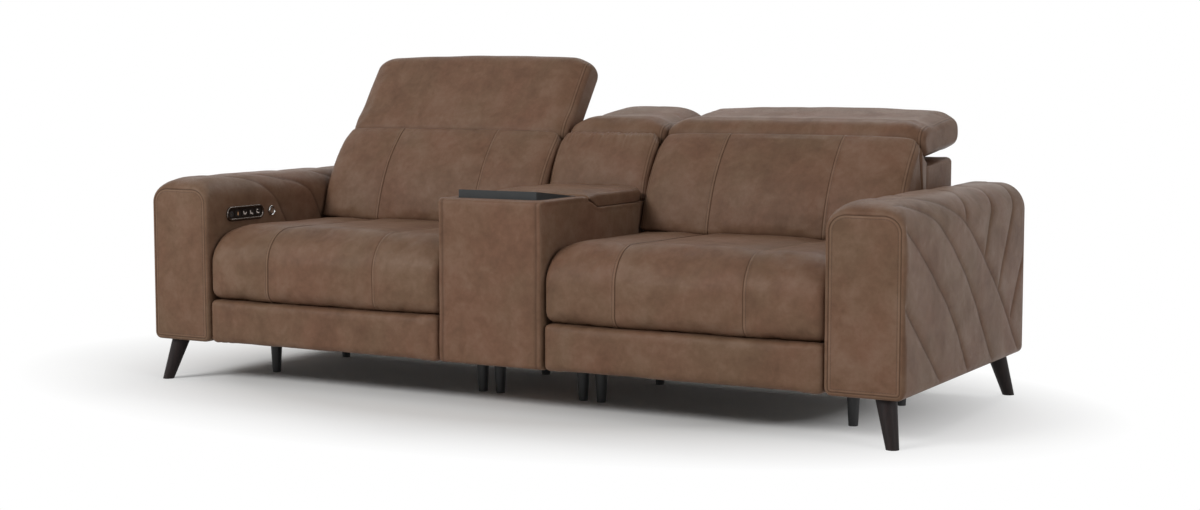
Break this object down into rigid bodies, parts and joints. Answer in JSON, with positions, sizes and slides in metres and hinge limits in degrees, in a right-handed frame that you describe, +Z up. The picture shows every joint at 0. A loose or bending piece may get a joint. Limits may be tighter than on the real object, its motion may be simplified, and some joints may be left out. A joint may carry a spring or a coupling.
{
  "type": "power reclining sofa",
  "caption": "Wide leather power reclining sofa with quilted arms, folding headrests, swing-out footrests and a centre console with padded lid, storage bin and flap-covered cup tray.",
  "frame": {"origin": "on the floor under the middle of the sofa's bounding box", "axes": "+X to the right as seen from the front, +Z up, the front faces -Y"},
  "size_m": [2.424, 1.0628, 0.985],
  "materials": {
    "leather": "mottled pull-up leather",
    "frame_timber": "raw timber and board",
    "leg_timber": "dark stained, satin",
    "steel": "black powder coat",
    "black_plastic": "matt",
    "slate_plastic": "fine grain",
    "key_plastic": "gloss",
    "nylon": "natural nylon",
    "motor_grey": "grey paint",
    "webbing": "woven strap",
    "chrome": "bright plated"
  },
  "bodies": {
    "frame": {"left_arm_cover": "leather", "right_arm_cover": "leather", "arm_frames": "frame_timber", "arm_legs": "leg_timber", "base_rails": "steel", "joining_blocks": "frame_timber", "moulded_feet": "black_plastic", "rear_panels": "leather", "actuators": "motor_grey", "power_supplies": "black_plastic", "console_body": "leather", "storage_bin": "black_plastic", "console_back_cushion": "leather", "console_head_roll": "leather", "lid_hinge": "steel", "cup_tray": "black_plastic", "control_bezels": "chrome", "charging_ports": "black_plastic"},
    "left_seat": {"left_seat_cushion": "leather", "left_seat_frame": "frame_timber", "left_seat_straps": "webbing", "left_carriage": "steel"},
    "left_back": {"left_back_cushion": "leather", "left_back_block": "leather", "left_back_frame": "frame_timber", "left_back_brackets": "steel"},
    "left_headrest": {"left_headrest_pad": "leather", "left_headrest_shaft": "steel"},
    "left_rear_links": {"left_rear_links": "steel"},
    "left_front_links": {"left_front_links": "steel"},
    "left_footrest": {"left_footrest_panel": "leather", "left_footrest_hangers": "steel"},
    "left_drive_nut": {"left_drive_nut": "nylon"},
    "left_button_1": {"left_button_1": "key_plastic"},
    "left_button_2": {"left_button_2": "key_plastic"},
    "left_button_3": {"left_button_3": "key_plastic"},
    "left_button_4": {"left_button_4": "key_plastic"},
    "left_home_button": {"left_home_button": "chrome"},
    "right_seat": {"right_seat_cushion": "leather", "right_seat_frame": "frame_timber", "right_seat_straps": "webbing", "right_carriage": "steel"},
    "right_back": {"right_back_cushion": "leather", "right_back_block": "leather", "right_back_frame": "frame_timber", "right_back_brackets": "steel"},
    "right_headrest": {"right_headrest_pad": "leather", "right_headrest_shaft": "steel"},
    "right_rear_links": {"right_rear_links": "steel"},
    "right_front_links": {"right_front_links": "steel"},
    "right_footrest": {"right_footrest_panel": "leather", "right_footrest_hangers": "steel"},
    "right_drive_nut": {"right_drive_nut": "nylon"},
    "right_button_1": {"right_button_1": "key_plastic"},
    "right_button_2": {"right_button_2": "key_plastic"},
    "right_button_3": {"right_button_3": "key_plastic"},
    "right_button_4": {"right_button_4": "key_plastic"},
    "right_home_button": {"right_home_button": "chrome"},
    "console_lid": {"console_lid": "leather"},
    "tray_flap": {"tray_flap": "slate_plastic"}
  },
  "joints": [
    {"name": "left_seat_slide", "type": "slide", "parent": "frame", "child": "left_seat", "axis": [0, -1, 0], "range_m": [0, 0.07]},
    {"name": "left_recline", "type": "hinge", "parent": "left_seat", "child": "left_back", "pos_m": [-0.584, 0.08363, 0.4], "axis": [-1, 0, 0], "range_deg": [0, 30]},
    {"name": "left_headrest_tilt", "type": "hinge", "parent": "left_back", "child": "left_headrest", "pos_m": [-0.584, 0.24363, 0.74], "axis": [1, 0, 0], "range_deg": [-48, 12]},
    {"name": "left_footrest_swing", "type": "hinge", "parent": "left_seat", "child": "left_rear_links", "pos_m": [-0.584, -0.39137, 0.225], "axis": [-1, 0, 0], "range_deg": [0, 165]},
    {"name": "left_footrest_unfold", "type": "hinge", "parent": "left_rear_links", "child": "left_front_links", "pos_m": [-0.584, -0.22537, 0.18834], "axis": [-1, 0, 0], "range_deg": [-135, 0]},
    {"name": "left_footrest_tilt", "type": "hinge", "parent": "left_front_links", "child": "left_footrest", "pos_m": [-0.584, -0.44537, 0.188], "axis": [-1, 0, 0], "range_deg": [0, 50]},
    {"name": "left_drive_travel", "type": "slide", "parent": "frame", "child": "left_drive_nut", "axis": [0, -1, 0], "range_m": [0, 0.15]},
    {"name": "left_button_1_press", "type": "slide", "parent": "frame", "child": "left_button_1", "axis": [-1, 0, 0], "range_m": [0, 0.0015], "stiffness_N_per_m": 100},
    {"name": "left_button_2_press", "type": "slide", "parent": "frame", "child": "left_button_2", "axis": [-1, 0, 0], "range_m": [0, 0.0015], "stiffness_N_per_m": 100},
    {"name": "left_button_3_press", "type": "slide", "parent": "frame", "child": "left_button_3", "axis": [-1, 0, 0], "range_m": [0, 0.0015], "stiffness_N_per_m": 100},
    {"name": "left_button_4_press", "type": "slide", "parent": "frame", "child": "left_button_4", "axis": [-1, 0, 0], "range_m": [0, 0.0015], "stiffness_N_per_m": 100},
    {"name": "left_home_button_press", "type": "slide", "parent": "frame", "child": "left_home_button", "axis": [-1, 0, 0], "range_m": [0, 0.0015], "stiffness_N_per_m": 100},
    {"name": "right_seat_slide", "type": "slide", "parent": "frame", "child": "right_seat", "axis": [0, -1, 0], "range_m": [0, 0.07]},
    {"name": "right_recline", "type": "hinge", "parent": "right_seat", "child": "right_back", "pos_m": [0.584, 0.08363, 0.4], "axis": [-1, 0, 0], "range_deg": [0, 30]},
    {"name": "right_headrest_tilt", "type": "hinge", "parent": "right_back", "child": "right_headrest", "pos_m": [0.584, 0.24363, 0.74], "axis": [1, 0, 0], "range_deg": [0, 60]},
    {"name": "right_footrest_swing", "type": "hinge", "parent": "right_seat", "child": "right_rear_links", "pos_m": [0.584, -0.39137, 0.225], "axis": [-1, 0, 0], "range_deg": [0, 165]},
    {"name": "right_footrest_unfold", "type": "hinge", "parent": "right_rear_links", "child": "right_front_links", "pos_m": [0.584, -0.22537, 0.18834], "axis": [-1, 0, 0], "range_deg": [-135, 0]},
    {"name": "right_footrest_tilt", "type": "hinge", "parent": "right_front_links", "child": "right_footrest", "pos_m": [0.584, -0.44537, 0.188], "axis": [-1, 0, 0], "range_deg": [0, 50]},
    {"name": "right_drive_travel", "type": "slide", "parent": "frame", "child": "right_drive_nut", "axis": [0, -1, 0], "range_m": [0, 0.15]},
    {"name": "right_button_1_press", "type": "slide", "parent": "frame", "child": "right_button_1", "axis": [1, 0, 0], "range_m": [0, 0.0015], "stiffness_N_per_m": 100},
    {"name": "right_button_2_press", "type": "slide", "parent": "frame", "child": "right_button_2", "axis": [1, 0, 0], "range_m": [0, 0.0015], "stiffness_N_per_m": 100},
    {"name": "right_button_3_press", "type": "slide", "parent": "frame", "child": "right_button_3", "axis": [1, 0, 0], "range_m": [0, 0.0015], "stiffness_N_per_m": 100},
    {"name": "right_button_4_press", "type": "slide", "parent": "frame", "child": "right_button_4", "axis": [1, 0, 0], "range_m": [0, 0.0015], "stiffness_N_per_m": 100},
    {"name": "right_home_button_press", "type": "slide", "parent": "frame", "child": "right_home_button", "axis": [1, 0, 0], "range_m": [0, 0.0015], "stiffness_N_per_m": 100},
    {"name": "console_lid_hinge", "type": "hinge", "parent": "frame", "child": "console_lid", "pos_m": [0, 0.04063, 0.589], "axis": [-1, 0, 0], "range_deg": [0, 95]},
    {"name": "tray_flap_hinge", "type": "hinge", "parent": "frame", "child": "tray_flap", "pos_m": [0, -0.28687, 0.583], "axis": [-1, 0, 0], "range_deg": [0, 85]}
  ],
  "couplings": [
    {"joint": "left_seat_slide", "follows": "left_recline", "m_per_rad": 0.13369},
    {"joint": "left_footrest_unfold", "follows": "left_footrest_swing", "ratio": -0.81818},
    {"joint": "left_footrest_tilt", "follows": "left_footrest_swing", "ratio": 0.30303},
    {"joint": "left_drive_travel", "follows": "left_footrest_swing", "m_per_rad": 0.052087},
    {"joint": "right_seat_slide", "follows": "right_recline", "m_per_rad": 0.13369},
    {"joint": "right_footrest_unfold", "follows": "right_footrest_swing", "ratio": -0.81818},
    {"joint": "right_footrest_tilt", "follows": "right_footrest_swing", "ratio": 0.30303},
    {"joint": "right_drive_travel", "follows": "right_footrest_swing", "m_per_rad": 0.052087}
  ]
}
